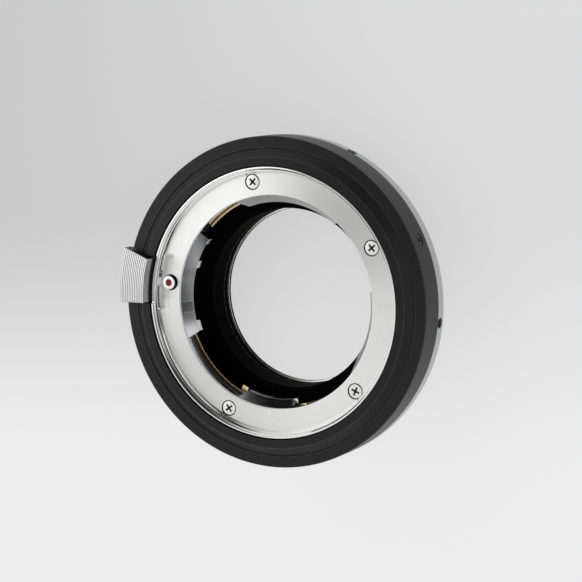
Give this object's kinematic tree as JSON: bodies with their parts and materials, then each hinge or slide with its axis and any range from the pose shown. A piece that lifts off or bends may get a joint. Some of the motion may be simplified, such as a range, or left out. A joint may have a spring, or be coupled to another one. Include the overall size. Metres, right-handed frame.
{
  "type": "lens mount adapter",
  "caption": "Short black ring that fits a bayonet lens to a mirrorless camera: lugged lens mount in front, camera bayonet behind, and a ridged side lever that drops the lock pin.",
  "frame": {"origin": "on the optical axis, in the plane of the camera-side flange face", "axes": "+Z along the optical axis towards the lens; the lock pin and its lever lie on -X"},
  "size_m": [0.0695, 0.068, 0.0202],
  "materials": {
    "black_anodised": "satin black anodised",
    "matt_black": "matt black",
    "silver_anodised": "satin silver anodised",
    "satin_chrome": "satin, fine turned grain",
    "bright_aluminium": "bright, ridged",
    "plain_steel": "plain",
    "pin_steel": "polished",
    "red_enamel": "gloss enamel",
    "screw_steel": "nickel plated",
    "dark_screw": "blackened",
    "spring_brass": "rolled, bright edges",
    "spring_steel": "drawn wire"
  },
  "bodies": {
    "body": {"inner_barrel": "black_anodised", "body_ring": "black_anodised", "baffle_tube": "matt_black", "camera_ring": "silver_anodised", "camera_bayonet": "satin_chrome", "lens_bayonet": "satin_chrome", "bayonet_screw_1": "screw_steel", "bayonet_screw_2": "screw_steel", "bayonet_screw_3": "screw_steel", "bayonet_screw_4": "screw_steel", "camera_screw_1": "screw_steel", "camera_screw_2": "screw_steel", "camera_screw_3": "screw_steel", "camera_screw_4": "screw_steel", "side_screw_1": "dark_screw", "side_screw_2": "dark_screw", "side_screw_3": "dark_screw", "edge_screw_1": "dark_screw", "edge_screw_2": "dark_screw", "edge_screw_3": "dark_screw", "leaf_spring_1": "spring_brass", "leaf_spring_2": "spring_brass", "leaf_spring_3": "spring_brass", "leaf_spring_4": "spring_brass", "leaf_spring_5": "spring_brass", "return_spring_1": "spring_steel", "return_spring_2": "spring_steel"},
    "release": {"release_lever": "bright_aluminium", "lever_arm": "plain_steel", "lever_screw_1": "screw_steel", "lever_screw_2": "screw_steel", "lock_pin": "pin_steel", "index_dot": "red_enamel"}
  },
  "joints": [
    {"name": "release_slide", "type": "slide", "parent": "body", "child": "release", "axis": [0, 0, -1], "range_m": [0, 0.001], "stiffness_N_per_m": 200, "springref_m": -0.001, "deforming": ["return_spring_1", "return_spring_2"]}
  ]
}
